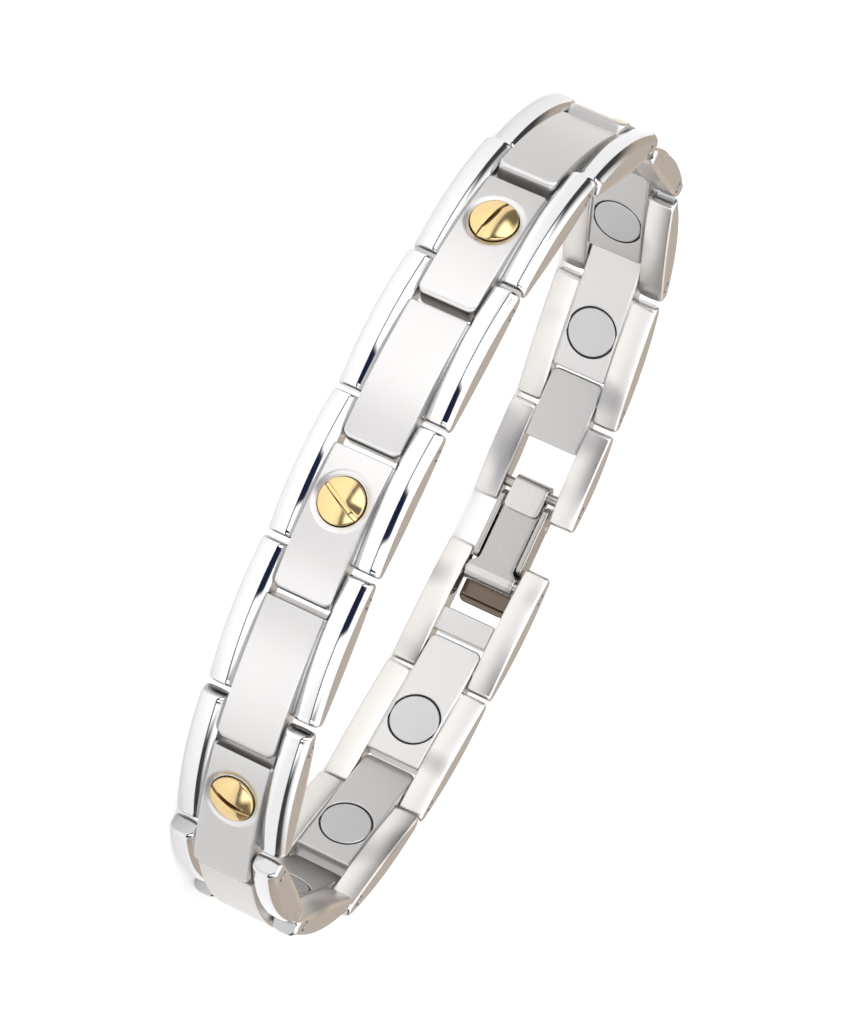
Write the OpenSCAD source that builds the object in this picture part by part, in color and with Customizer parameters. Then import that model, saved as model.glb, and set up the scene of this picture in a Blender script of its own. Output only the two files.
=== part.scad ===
// Link bracelet with gold screw heads outside, round magnets inside and a fold-over clasp.
// The closed loop lies on its side: +Z is the loop's axis, +X its long way, the clasp is at +Y.
// Each link is drawn in its own frame: x along the chain, y away from the wrist, z across the band,
// with its first pin at the origin.

/* [Loop] */
// Distance between the pins of one link
link_pitch = 14; // [12:0.1:16]
// Height of the band, measured along a pin
band_w = 11; // [10:0.1:14]
// Short way of the oval as a share of the long way
oval_ratio = 0.676; // [0.6:0.002:0.8]
// Squareness of the oval: 2 is an ellipse, more is fuller
oval_power = 2.33; // [2:0.01:2.6]
// How far the clasp's middle has slid past the middle of its long side
clasp_shift = 3.7; // [0:0.1:6]

/* [Side bars] */
// How far a bar reaches behind its own pin
bar_back = 1.8; // [1.5:0.05:1.9]
// Gap between the bars of two neighbours
bar_gap = 0.45; // [0.3:0.05:0.6]
// Height of a bar's crown outside the pin line
bar_crown = 2.0; // [1.6:0.05:2.4]
// Height of a bar's ends outside the pin line
bar_end_out = 1.0; // [0.8:0.05:1.2]
// Depth of a bar's belly inside the pin line
bar_belly = 1.1; // [0.9:0.05:1.4]
// Depth of a bar's ends inside the pin line
bar_end_in = 0.75; // [0.65:0.05:0.9]
// Width of the bevel along a bar's outer edges
bar_bevel = 0.5; // [0.2:0.05:0.7]
// Radius of a bar's corners, seen from outside
bar_corner = 0.45; // [0.2:0.05:0.6]

/* [Centre pieces] */
// Width of the centre piece and its tongue
tongue_w = 5.6; // [5:0.1:6.4]
// Gap beside the tongue, and width of the groove beside the centre piece
side_gap = 0.1; // [0.05:0.01:0.15]
// Thickness of the weld that bridges the groove
weld_t = 1.0; // [0.6:0.1:1]
// Where the centre piece starts, ahead of the link's own pin
plate_start = 2.5; // [2.4:0.05:2.8]
// How far the tongue reaches past the next pin
tongue_reach = 2.0; // [1.6:0.05:2.1]
// Height of the centre piece's crown outside the pin line
tongue_crown = 2.0; // [1.8:0.05:2.2]
// Depth of its inner face inside the pin line
tongue_belly = 0.8; // [0.7:0.05:0.9]
// Radius of its lengthwise crown outside
tongue_crown_r = 33; // [30:1:60]
// How far the crown's top lies ahead of the link's middle
crown_ahead = 1; // [0:0.1:1.5]
// Radius of the tongue's corners, seen from outside
tongue_corner = 0.7; // [0.3:0.05:0.9]

/* [Pins] */
// Diameter of a link pin
pin_d = 1.0; // [0.8:0.05:1.1]
// Diameter of the catch bar and the clasp pin
bar_pin_d = 1.1; // [1:0.05:1.1]
// Clearance round every pin, on the radius
pin_clear = 0.05; // [0.03:0.01:0.08]
// How far a pin's end lies below the bar's side
pin_recess = 0.05; // [0.02:0.01:0.1]

/* [Screws and magnets] */
// Diameter of a screw head
screw_d = 4.3; // [3.8:0.1:4.6]
// Height of its dome
screw_dome = 0.4; // [0.3:0.05:0.6]
// Height of its straight rim
screw_rim = 0.85; // [0.5:0.05:1]
// Depth of its seat below the crown
seat_depth = 0.55; // [0.4:0.05:0.6]
// Diameter of the dish round the head
dish_d = 5.8; // [5.2:0.1:6]
// Depth of the dish
dish_depth = 0.3; // [0.2:0.05:0.3]
// Width of the slot
slot_w = 0.42; // [0.3:0.02:0.6]
// Depth of the slot
slot_depth = 0.35; // [0.2:0.05:0.45]
// Diameter of the screw's shank
shank_d = 2; // [1.6:0.1:2.4]
// Length of the shank
shank_len = 0.6; // [0.4:0.05:0.7]
// Diameter of a magnet
magnet_d = 5.1; // [4.4:0.1:5.2]
// Thickness of a magnet
magnet_t = 0.9; // [0.6:0.05:1]
// Gap round a head or a magnet
ring_gap = 0.1; // [0.05:0.01:0.12]

/* [End links] */
// Distance from a clasp pin to the end of its bars
end_margin = 2.25; // [2:0.05:2.4]
// Distance from the catch bar to the catch link's first pin
catch_span = 10.4; // [10:0.1:12]
// Where the catch link's centre piece starts, ahead of the catch bar
catch_window = 5.0; // [4:0.1:5.5]
// Distance from the last link pin to the clasp pin
clasp_span = 9.5; // [9.2:0.1:11]
// Length of the clasp link's centre plate
clasp_plate = 2.5; // [2:0.1:3]

/* [Clasp] */
// Distance from the clasp pin to the catch bar when it is shut
shut_span = 9.5; // [9:0.1:10.5]
// Thickness of the leaf's sheet
leaf_t = 0.5; // [0.4:0.05:0.55]
// Width of the leaf's strip
leaf_w = 3.9; // [3.4:0.1:4]
// Width of the leaf's eye
eye_w = 5.2; // [4.8:0.1:5.3]
// Width of the hook's tab
tab_w = 3.7; // [3.2:0.1:3.8]
// How far the tab reaches back over the strip from the catch bar
tab_len = 2.5; // [2:0.1:2.7]
// Depth of the strip's inner face inside the pin line
strip_depth = 0.5; // [0.4:0.05:0.6]
// Distance from the cover's pivot to the catch bar
pivot_to_bar = 2.9; // [2.8:0.05:3.2]
// Height of the pivot outside the pin line
pivot_rise = 0.7; // [0.65:0.01:0.75]
// Diameter of the pivot pin
pivot_d = 0.7; // [0.6:0.05:0.75]
// Wall of the leaf's knuckle round the pivot pin
knuckle_wall = 0.2; // [0.15:0.01:0.2]
// Outer width of the cover
cover_w = 5.4; // [5:0.1:5.5]
// Thickness of the cover's flanges
flange_t = 0.6; // [0.4:0.05:0.65]
// Thickness of the cover's plate at its edges
cover_t = 0.6; // [0.4:0.05:0.8]
// Rise of the cover's crown
cover_crown = 0.15; // [0.1:0.05:0.4]
// Depth of the flanges' rims inside the pin line
rim_depth = 0.9; // [0.7:0.05:1]
// How far the cover reaches past the clasp pin
cover_reach = 3.3; // [2:0.1:3.4]
// Where the ramp from the eye meets the strip
ramp_x = 1.9; // [1.7:0.1:2.2]
// How far the ramp's shoulders reach past the clasp pin
shoulder_x = 1.15; // [0.9:0.05:1.2]
// Radius of the shoulders' and the tab's corners
sheet_corner = 0.55; // [0.3:0.05:0.7]
// Radius of the flanges' ears round the pivot
ear_r = 2.15; // [1.9:0.05:2.2]
// Radius of the cover's free corners
cover_corner = 0.8; // [0.3:0.1:1.2]
// Length of the lip inside the cover's free end
lip_len = 0.6; // [0.4:0.1:1]
// Depth of that lip
lip_depth = 0.2; // [0.1:0.05:0.25]

/* [Hidden] */
// The regular links; every second one carries a screw
LINKS = 13;
SCREWS = ceil(LINKS / 2);
// Turn of each screw's slot from the chain's line, in degrees
SLOT_TURNS = [100, 35, -13, 63, 75, 140, 20];
// Roundness of large and small curves
$fn = 72;
CROWN_FN = 360;
// Overlap that lets a cut pass clean through
eps = 0.02;
// Gap between pieces that lie close without touching
fit_gap = 0.1;

// Links
bar_w = (band_w - tongue_w) / 2 - side_gap;
bar_z = band_w / 2 - bar_w / 2;
far_margin = bar_back + bar_gap;
link_mid = link_pitch / 2;
crown_x = link_mid + crown_ahead;

// Screws and magnets
head_floor = tongue_crown - seat_depth;
head_base = head_floor + ring_gap / 2;
screw_top = head_base + screw_rim + screw_dome;
magnet_roof = magnet_t - tongue_belly;

// Clasp
hook_in_r = bar_pin_d / 2 + fit_gap;
hook_r = hook_in_r + leaf_t / 2;
eye_in_r = bar_pin_d / 2 + pin_clear;
eye_r = eye_in_r + leaf_t;
strip_y = leaf_t / 2 - strip_depth;
pivot_x = shut_span - pivot_to_bar;
knuckle_r = pivot_d / 2 + pin_clear + knuckle_wall;
cover_in = pivot_rise + knuckle_r + fit_gap;
cover_out = cover_in + cover_t;
joggle_x = shut_span - tab_len + leaf_t / 2;
joggle_reach = sqrt(pow(shut_span - joggle_x, 2) + pow(strip_y, 2));
joggle_turn = asin(hook_r / joggle_reach) + atan(-strip_y / (shut_span - joggle_x));
joggle_len = sqrt(pow(joggle_reach, 2) - pow(hook_r, 2));
ramp_r = eye_in_r + leaf_t / 2;
ramp_reach = sqrt(pow(ramp_x, 2) + pow(strip_y, 2));
ramp_turn = 180 - atan(-strip_y / ramp_x) + asin(ramp_r / ramp_reach);
ramp_len = sqrt(pow(ramp_reach, 2) - pow(ramp_r, 2));
cover_x0 = -cover_reach;
cover_x1 = pivot_x - 0.5;
cover_len = cover_x1 - cover_x0;
flange_x0 = eye_r + 2 * fit_gap;

// The oval in polar form, for a long half axis of 1
function oval_r(t) = pow(pow(abs(cos(t)), oval_power) + pow(abs(sin(t)) / oval_ratio, oval_power), -1 / oval_power);
function oval(t, size) = size * oval_r(t) * [cos(t), sin(t)];

// The angle whose point lies one chord further round, found by halving the range
function next_turn(t, chord, size, low, high, steps = 26) =
    let (mid = (low + high) / 2)
    steps == 0 ? mid
    : norm(oval(mid, size) - oval(t, size)) < chord ? next_turn(t, chord, size, mid, high, steps - 1)
    : next_turn(t, chord, size, low, mid, steps - 1);

// The pin-to-pin chords, from the clasp pin round to the clasp pin again
CHORDS = [shut_span, catch_span, for (i = [1:LINKS]) link_pitch, clasp_span];

// The angle at which the clasp pin sits
function first_turn(size, low = 45, high = 135, steps = 26) =
    let (mid = (low + high) / 2)
    steps == 0 ? mid
    : oval(mid, size)[0] > shut_span / 2 - clasp_shift ? first_turn(size, mid, high, steps - 1)
    : first_turn(size, low, mid, steps - 1);

// All pin angles for one oval size
function turns(size, so_far, i = 0) =
    i == len(CHORDS) ? so_far
    : let (t = so_far[i]) turns(size, concat(so_far, [next_turn(t, CHORDS[i], size, t, t + 60)]), i + 1);

// How far past a full turn the chain ends
function overrun(size) = let (t = turns(size, [first_turn(size)])) t[len(CHORDS)] - t[0] - 360;

// The oval size at which the chain closes
function closing(low, high, steps = 26) =
    let (mid = (low + high) / 2)
    steps == 0 ? mid
    : overrun(mid) > 0 ? closing(mid, high, steps - 1)
    : closing(low, mid, steps - 1);

function total(list, i = 0) = i == len(list) ? 0 : list[i] + total(list, i + 1);

loop_len = total(CHORDS);
oval_size = closing(loop_len / 8, loop_len / 4);
TURNS = turns(oval_size, [first_turn(oval_size)]);
PINS = [for (t = TURNS) oval(t, oval_size)];

function heading(i) = let (way = PINS[i + 1] - PINS[i]) atan2(way[1], way[0]);

// A point x along and y outside chord i
function spot(i, x, y) = let (turn = heading(i)) PINS[i] + x * [cos(turn), sin(turn)] + y * [sin(turn), -cos(turn)];

// The far ends of the bars of chord i, and a point on their crown
function bar_range(i) =
    i == 1 ? [-end_margin, catch_span - far_margin]
    : i == LINKS + 2 ? [-bar_back, clasp_span + end_margin]
    : [-bar_back, link_pitch - far_margin];
function crown_spot(i, s) =
    let (span = bar_range(i))
    spot(i, span[0] + s * (span[1] - span[0]), bar_crown - (bar_crown - bar_end_out) * pow(2 * s - 1, 2));

// The middle of the loop's box, from the outermost points of the bars, tongues, screws and cover
tip_y = tongue_crown - pow(link_mid + tongue_reach - crown_ahead, 2) / (2 * tongue_crown_r);
RIM = concat(
    [for (i = [1:LINKS + 2], s = [0:0.05:1]) crown_spot(i, s)],
    [for (i = [1:LINKS + 1]) spot(i, CHORDS[i] + tongue_reach, tip_y)],
    [for (i = [2:2:LINKS + 1]) spot(i, link_mid, screw_top)],
    [for (s = [-1:0.25:1]) spot(0, (cover_x0 + cover_x1 + s * cover_len) / 2, cover_out + cover_crown * (1 - s * s))]
);
MIDDLE = [for (k = [0, 1]) let (at = [for (p = RIM) p[k]]) (min(at) + max(at)) / 2];

// Numbers below ten get a leading zero in a piece's name
function tag(i) = str(i < 10 ? "0" : "", i);

LINK_NAMES = [for (i = [1:LINKS]) str("link_", tag(i))];
PIN_NAMES = [for (i = [1:LINKS + 1]) str("link_pin_", tag(i))];
SCREW_NAMES = [for (i = [1:SCREWS]) str("screw_", tag(i))];
MAGNET_NAMES = [for (i = [1:LINKS]) str("magnet_", tag(i))];

// Puts a piece into the frame of chord i, with y away from the wrist
module along(i) {
    translate([PINS[i][0] - MIDDLE[0], PINS[i][1] - MIDDLE[1], band_w / 2])
        rotate([180, 0, heading(i)])
            children();
}

// A round bar along z through the point (x, y)
module rod(x, y, r, h) {
    translate([x, y, 0]) cylinder(r = r, h = h, center = true);
}

// A block from x0 to x1 and y0 to y1, centred across the band
module block(x0, x1, y0, y1, w) {
    translate([x0, y0, -w / 2]) cube([x1 - x0, y1 - y0, w]);
}

// A plate seen from outside, with corners of radius r at its chosen ends
module rounded_plan(x0, x1, w, r, near = true, far = true) {
    tall = 40;
    x_in0 = near ? x0 + r : x0;
    x_in1 = far ? x1 - r : x1;
    rotate([90, 0, 0])
        linear_extrude(height = tall, center = true) {
            translate([x_in0, -w / 2]) square([x_in1 - x_in0, w]);
            translate([x0, r - w / 2]) square([x1 - x0, w - 2 * r]);
            for (x = [if (near) x_in0, if (far) x_in1], side = [-1, 1])
                translate([x, side * (w / 2 - r)]) circle(r = r);
        }
}

// Radius of an arc that rises by rise over half its chord
function arc_r(half, rise) = (half * half + rise * rise) / (2 * rise);

// One side bar from x0 to x1: crowned and bevelled outside, bellied inside
module side_bar(x0, x1) {
    half = (x1 - x0) / 2;
    crown_r = arc_r(half, bar_crown - bar_end_out);
    belly_r = arc_r(half, bar_belly - bar_end_in);
    w = bar_w / 2;
    intersection() {
        translate([x0 + half, bar_crown - crown_r, 0])
            rotate_extrude($fn = CROWN_FN)
                polygon([
                    [crown_r / 2, -w], [crown_r - bar_bevel, -w], [crown_r, bar_bevel - w],
                    [crown_r, w - bar_bevel], [crown_r - bar_bevel, w], [crown_r / 2, w]
                ]);
        rod(x0 + half, belly_r - bar_belly, belly_r, bar_w + 1, $fn = CROWN_FN);
        rounded_plan(x0, x1, bar_w, bar_corner);
    }
}

module side_bars(x0, x1) {
    for (side = [-1, 1]) translate([0, 0, side * bar_z]) side_bar(x0, x1);
}

// A centre plate from x0 to x1, crowned lengthwise outside about x = mid and flat inside
module centre_plate(x0, x1, mid) {
    intersection() {
        rod(mid, tongue_crown - tongue_crown_r, tongue_crown_r, tongue_w, $fn = CROWN_FN);
        block(x0, x1, -tongue_belly, 2 * bar_crown, tongue_w);
    }
}

// A centre plate that ends in a tongue with rounded corners
module tongue(x0, x1, mid) {
    intersection() {
        centre_plate(x0, x1, mid);
        rounded_plan(x0, x1, tongue_w, tongue_corner, near = false);
    }
}

// The hidden strip that welds a centre plate to both bars
module weld(x0, x1) {
    block(x0, x1, -weld_t / 2, weld_t / 2, tongue_w + 2 * side_gap + bar_w);
}

// The hole for a pin at x
module pin_bore(x, d) {
    rod(x, 0, d / 2 + pin_clear, band_w + 1);
}

// The dish, seat and hole for a screw head, cut from the outer face
module screw_seat() {
    head_r = screw_d / 2 + ring_gap;
    translate([link_mid, 0, 0]) rotate([-90, 0, 0]) {
        translate([0, 0, head_floor - shank_len - ring_gap]) cylinder(d = shank_d + 2 * ring_gap, h = 2 * shank_len);
        translate([0, 0, head_floor]) cylinder(r = head_r, h = 2 * seat_depth);
        translate([0, 0, tongue_crown - dish_depth])
            cylinder(r1 = head_r, r2 = dish_d - head_r, h = 2 * dish_depth);
    }
}

// The pocket for a magnet, cut from the inner face
module magnet_pocket() {
    translate([link_mid, 0, 0]) rotate([90, 0, 0])
        translate([0, 0, -magnet_roof - ring_gap / 2])
            cylinder(d = magnet_d + 2 * ring_gap, h = 2 * magnet_t);
}

// A regular link; screwed says whether it has a screw's seat
module link(screwed) {
    far = link_pitch - far_margin;
    color("gainsboro") difference() {
        union() {
            side_bars(-bar_back, far);
            difference() {
                union() {
                    tongue(plate_start, link_pitch + tongue_reach, crown_x);
                    weld(plate_start, far);
                }
                if (screwed) screw_seat();
            }
        }
        magnet_pocket();
        pin_bore(0, pin_d);
        pin_bore(link_pitch, pin_d);
    }
}

// The end link that the hook catches
module catch_link() {
    far = catch_span - far_margin;
    color("gainsboro") difference() {
        union() {
            side_bars(-end_margin, far);
            tongue(catch_window, catch_span + tongue_reach, catch_span - link_pitch + crown_x);
            weld(catch_window, far);
        }
        pin_bore(0, bar_pin_d);
        pin_bore(catch_span, pin_d);
    }
}

// The end link that carries the clasp
module clasp_link() {
    far = plate_start + clasp_plate;
    color("gainsboro") difference() {
        union() {
            side_bars(-bar_back, clasp_span + end_margin);
            centre_plate(plate_start, far, crown_x);
            weld(plate_start, far);
        }
        pin_bore(0, pin_d);
        pin_bore(clasp_span, bar_pin_d);
    }
}

// A cross pin that ends just below the bars' sides
module cross_pin(d) {
    color("silver") cylinder(d = d, h = band_w - 2 * pin_recess, center = true);
}

// A screw head with its slot and shank, standing in its seat
module screw(turn) {
    r = screw_d / 2;
    dome_r = arc_r(r, screw_dome);
    color("gold") translate([link_mid, 0, 0]) rotate([-90, 0, 0]) difference() {
        union() {
            translate([0, 0, head_base - shank_len]) cylinder(d = shank_d, h = shank_len + eps);
            intersection() {
                translate([0, 0, head_base]) cylinder(r = r, h = screw_rim + screw_dome);
                translate([0, 0, screw_top - dome_r]) sphere(r = dome_r, $fn = CROWN_FN);
            }
        }
        rotate([0, 0, turn])
            translate([-r, -slot_w / 2, screw_top - slot_depth])
                cube([2 * r, slot_w, slot_depth + 1]);
    }
}

// A magnet disc, flush with the inner face
module magnet() {
    color("darkgray") translate([link_mid, 0, 0]) rotate([90, 0, 0])
        translate([0, 0, -magnet_roof]) cylinder(d = magnet_d, h = magnet_t);
}

// A strip of sheet from (x, y), len long, turned by turn
module sheet_run(x, y, turn, run, w) {
    translate([x, y, 0]) rotate([0, 0, turn]) block(0, run, -leaf_t / 2, leaf_t / 2, w);
}

// The hook's bend round the catch bar, from the joggle's end to the tab
module hook_bend() {
    reach = 2 * hook_r;
    translate([shut_span, 0, 0]) difference() {
        cylinder(r = hook_r + leaf_t / 2, h = tab_w, center = true);
        cylinder(r = hook_in_r, h = tab_w + 1, center = true);
        rotate([0, 0, joggle_turn]) block(-reach, 0, 0, reach, tab_w + 1);
        block(-reach, 0, -reach, 0, tab_w + 1);
    }
}

// The ramp from the strip to the wrist side of the eye, with wide rounded shoulders
module ramp() {
    sheet_run(ramp_x, strip_y, ramp_turn, ramp_len, leaf_w);
    intersection() {
        sheet_run(ramp_x, strip_y, ramp_turn, ramp_len, eye_w + 1);
        rounded_plan(-ramp_x, shoulder_x, eye_w, sheet_corner, near = false);
    }
}

// The hook's tab, which lies along the strip
module tab() {
    intersection() {
        sheet_run(shut_span, -hook_r, 180, tab_len + 1, tab_w + 1);
        rounded_plan(shut_span - tab_len, shut_span + 1, tab_w, sheet_corner, far = false);
    }
}

// The leaf: an eye, a strip with a knuckle for the pivot, and a hook with its tab
module clasp_leaf() {
    color("silver") difference() {
        union() {
            rod(0, 0, eye_r, eye_w);
            ramp();
            rod(ramp_x, strip_y, leaf_t / 2, leaf_w);
            block(ramp_x, joggle_x, -strip_depth, leaf_t - strip_depth, leaf_w);
            rod(joggle_x, strip_y, leaf_t / 2, tab_w);
            sheet_run(joggle_x, strip_y, joggle_turn, joggle_len, tab_w);
            hook_bend();
            tab();
            rod(pivot_x, pivot_rise, knuckle_r, leaf_w);
            block(pivot_x - knuckle_r, pivot_x + knuckle_r, strip_y, pivot_rise, leaf_w);
        }
        rod(0, 0, eye_in_r, eye_w + 1);
        rod(pivot_x, pivot_rise, pivot_d / 2 + pin_clear, leaf_w + 1);
    }
}

// The cover's crowned plate, with a lip inside its free end
module cover_plate() {
    crown_r = arc_r(cover_len / 2, cover_crown);
    intersection() {
        union() {
            block(cover_x0, cover_x1, cover_in, cover_out + cover_crown, cover_w);
            block(cover_x0, cover_x0 + lip_len, cover_in - lip_depth, cover_out, cover_w);
        }
        rod(cover_x0 + cover_len / 2, cover_out + cover_crown - crown_r, crown_r, cover_w, $fn = CROWN_FN);
        rounded_plan(cover_x0, cover_x1, cover_w, cover_corner, far = false);
    }
}

// The outline of both flanges: rounded near the eye, with an ear round the pivot
module cover_sides() {
    block(flange_x0 + cover_corner, pivot_x, -rim_depth, cover_in + eps, cover_w);
    block(flange_x0, pivot_x, cover_corner - rim_depth, cover_in + eps, cover_w);
    rod(flange_x0 + cover_corner, cover_corner - rim_depth, cover_corner, cover_w);
    intersection() {
        rod(pivot_x, pivot_rise, ear_r, cover_w);
        block(pivot_x - eps, pivot_x + ear_r, -rim_depth, cover_out, cover_w);
    }
}

// The cover: a plate whose two flanges hang beside the leaf and turn on the pivot
module clasp_cover() {
    color("gainsboro") difference() {
        union() {
            cover_plate();
            difference() {
                cover_sides();
                block(0, 2 * shut_span, -2 * rim_depth, 2 * cover_out, cover_w - 2 * flange_t);
            }
        }
        rod(pivot_x, pivot_rise, pivot_d / 2 + pin_clear, cover_w + 1);
    }
}

module cover_pivot() {
    color("silver") rod(pivot_x, pivot_rise, pivot_d / 2, cover_w - 2 * pin_recess);
}

for (i = [1:LINKS])
    along(i + 1) link(i % 2 == 1);
along(1) catch_link();
along(LINKS + 2) clasp_link();
for (i = [1:LINKS + 1])
    along(i + 1) cross_pin(pin_d);
along(1) cross_pin(bar_pin_d);  // catch_bar
along(0) cross_pin(bar_pin_d);  // clasp_pin
along(0) clasp_leaf();
along(0) clasp_cover();
along(0) cover_pivot();
for (i = [1:SCREWS])
    along(2 * i) screw(SLOT_TURNS[i - 1]);
for (i = [1:LINKS])
    along(i + 1) magnet();
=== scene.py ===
# %% [markdown]
# # A magnetic link bracelet
# The CAD model gives every piece of the bracelet its place. This lesson dresses it for a picture:
# polished side bars, brushed centre pieces, gold screws, grey magnets and a fold-over clasp.
# Each new surface is worked out with numpy as whole arrays, in a frame of its own link, and then
# carried to where the CAD frame has that link.

# %% Load the frame
import bpy
import numpy as np
from mathutils import Matrix, Vector


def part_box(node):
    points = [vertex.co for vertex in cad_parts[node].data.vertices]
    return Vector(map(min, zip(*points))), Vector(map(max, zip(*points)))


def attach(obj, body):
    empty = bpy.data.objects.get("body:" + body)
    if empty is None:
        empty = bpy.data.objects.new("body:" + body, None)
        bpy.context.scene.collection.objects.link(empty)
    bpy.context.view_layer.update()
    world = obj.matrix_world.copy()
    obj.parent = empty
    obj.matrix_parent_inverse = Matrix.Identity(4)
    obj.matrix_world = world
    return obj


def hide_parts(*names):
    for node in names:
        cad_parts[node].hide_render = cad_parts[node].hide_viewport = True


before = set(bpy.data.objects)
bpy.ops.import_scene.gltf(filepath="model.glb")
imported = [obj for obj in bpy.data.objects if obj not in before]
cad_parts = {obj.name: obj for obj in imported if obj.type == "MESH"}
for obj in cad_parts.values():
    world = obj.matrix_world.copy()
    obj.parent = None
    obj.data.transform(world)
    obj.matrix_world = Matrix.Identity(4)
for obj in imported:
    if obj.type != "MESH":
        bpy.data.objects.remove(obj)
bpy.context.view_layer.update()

# %% [markdown]
# ## Where each link sits
# A link turns on its pins, so two pins tell where it lies. A link's own frame has x along the
# chain from its first pin, y away from the wrist and z across the band. Reading the pins from the
# CAD frame keeps the dressed pieces exactly on the solids.

# %% Measure the chain
MM = 0.001
BAND_W = 11.0
LINKS = 13


def middle(node):
    """The middle of a CAD node's box, in millimetres."""
    low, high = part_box(node)
    return (np.array(low) + np.array(high)) / 2 / MM


stations = ["clasp_pin", "catch_bar"] + [f"link_pin_{i:02d}" for i in range(1, LINKS + 2)]
pins = np.array([middle(node)[:2] for node in stations])
steps = np.roll(pins, -1, axis=0) - pins
chords = np.linalg.norm(steps, axis=1)
ways = steps / chords[:, None]
print("pin to pin in mm:", np.round(chords, 2).tolist())


def placed(points, station):
    """A point (x, y, z) of a link's frame goes to pin + x along the chain + y outwards, and z runs
    down from the band's middle."""
    way = ways[station]
    outward = np.array([way[1], -way[0]])
    flat = pins[station] + points[..., :1] * way + points[..., 1:2] * outward
    return np.concatenate([flat, BAND_W / 2 - points[..., 2:]], axis=-1) * MM


# %% [markdown]
# ## From a grid of points to a closed mesh
# Every surface here is a grid: its columns run round a ring and its rows go from one end of the
# form to the other. A row that shrinks to one point is a pole, which is a single vertex, and rows
# that run round a hole are joined from the last to the first. Either way the mesh is closed.

# %% Make a mesh from rings
def ring_faces(rows, columns, first, last):
    """Quads between neighbouring rings. A pole's ring is one vertex, and joined rings run round
    from the last to the first."""
    index = np.arange(rows * columns).reshape(rows, columns)
    for row, kind in ((0, first), (-1, last)):
        if kind == "pole":
            index[row] = index[row, 0]
    if first == "joined":
        index = np.vstack([index, index[:1]])
    ahead = np.roll(index, -1, axis=1)
    quads = np.stack([index[:-1], ahead[:-1], ahead[1:], index[1:]], axis=-1).reshape(-1, 4)
    upper = quads[:, 0] == quads[:, 1]
    lower = quads[:, 2] == quads[:, 3]
    above, below = quads[upper & ~lower], quads[lower & ~upper]
    triangles = np.vstack([above[:, [0, 2, 3]], below[:, [0, 1, 2]]])
    return quads[~upper & ~lower], triangles


def closed_ends(rings):
    """Adds the middle of the first and the last ring, so that both ends close in a pole."""
    first = np.repeat(rings[:1].mean(axis=1, keepdims=True), rings.shape[1], axis=1)
    last = np.repeat(rings[-1:].mean(axis=1, keepdims=True), rings.shape[1], axis=1)
    return np.concatenate([first, rings, last])


def turned_out(points, quads, triangles):
    """Six times the signed volume of the mesh, which is negative where its faces look inwards."""
    corners = np.vstack([quads[:, [0, 1, 2]], quads[:, [0, 2, 3]], triangles])
    a, b, c = points[corners[:, 0]], points[corners[:, 1]], points[corners[:, 2]]
    return np.einsum("ij,ij->", a, np.cross(b, c))


def piece(name, parts, station, body="band", replaces=()):
    """One mesh object from closed grids of a link's frame, each (rings, first end, last end)."""
    vertices, faces, local, start = [], [], [], 0
    for rings, first, last in parts:
        rings = np.asarray(rings, float)
        quads, triangles = ring_faces(rings.shape[0], rings.shape[1], first, last)
        points = rings.reshape(-1, 3)
        if turned_out(points - points.mean(axis=0), quads, triangles) < 0:
            quads, triangles = quads[:, ::-1], triangles[:, ::-1]
        used = np.unique(np.concatenate([quads.ravel(), triangles.ravel()]))
        fresh = np.zeros(len(points), int)
        fresh[used] = np.arange(len(used)) + start
        vertices.append(placed(points[used], station))
        local.append(points[used])
        faces += fresh[quads].tolist() + fresh[triangles].tolist()
        start += len(used)
    mesh = bpy.data.meshes.new(name)
    mesh.from_pydata(np.vstack(vertices).tolist(), [], faces)
    mesh.polygons.foreach_set("use_smooth", np.ones(len(mesh.polygons), bool))
    local = np.vstack(local).astype(np.float32)
    grain = mesh.attributes.new("grain", "FLOAT_VECTOR", "POINT")
    grain.data.foreach_set("vector", local.ravel())
    low, high = local[:, 0].min(), local[:, 0].max()
    reach = mesh.attributes.new("reach", "FLOAT", "POINT")
    reach.data.foreach_set("value", np.abs(2 * local[:, 0] - low - high) / (high - low))
    mesh.update()
    thing = bpy.data.objects.new(name, mesh)
    bpy.context.scene.collection.objects.link(thing)
    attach(thing, body)
    if replaces:
        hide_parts(*replaces)
    return thing


quads, triangles = ring_faces(4, 8, "pole", "pole")
print("a ball of 4 rings of 8:", len(quads), "quads and", len(triangles), "triangles")

# %% [markdown]
# ## Rounded edges
# Polished steel shows its edges more than its faces, because an edge gathers light from many
# sides. Each edge is therefore a real arc with several rings, never a sharp corner.

# %% Arcs and spacing
def arc_height(x, middle_x, top, radius):
    """The height of a circle of that radius whose top is at (middle_x, top)."""
    return top - radius + np.sqrt(np.maximum(radius**2 - (x - middle_x) ** 2, 0))


def arc_radius(half, rise):
    """The radius of an arc that rises by rise over half its chord."""
    return (half**2 + rise**2) / (2 * rise)


def inset(distance, radius):
    """How far a round edge lies back at a distance from the side: radius minus the arc."""
    short = np.clip(radius - distance, 0, radius)
    return radius - np.sqrt(np.maximum(radius**2 - short**2, 0))


def smooth(share):
    """A share kept between 0 and 1 and eased: three times its square less twice its cube."""
    share = np.clip(share, 0, 1)
    return share * share * (3 - 2 * share)


def bevelled(distance, bevel, radius):
    """How far a bevel of 45 degrees lies below the flat, with an arc of that radius at its crease:
    radius minus the arc near the crease, and the straight bevel beyond."""
    back = bevel + radius * np.tan(np.pi / 8) - distance
    arc_end = radius * np.sin(np.pi / 4)
    along = np.clip(back, 0, arc_end)
    return radius - np.sqrt(radius**2 - along**2) + np.maximum(back - arc_end, 0)


print("a round edge of 0.5 lies back by", np.round(inset(np.array([0, 0.1, 0.3]), 0.5), 3).tolist())

# %% [markdown]
# ## Side bars
# A bar is a low bridge of steel: crowned outside, bellied inside, with a bevel along both outer
# edges. It could be a bevelled box, but the bevel, the crown and the round ends all meet at the
# corners. So the bar is carried across its width as a ring in the plane of its side: at each
# distance from the side the same outline is drawn a little smaller. The bore of its pin is part
# of the same surface: the rings run in through it and join.

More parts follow.
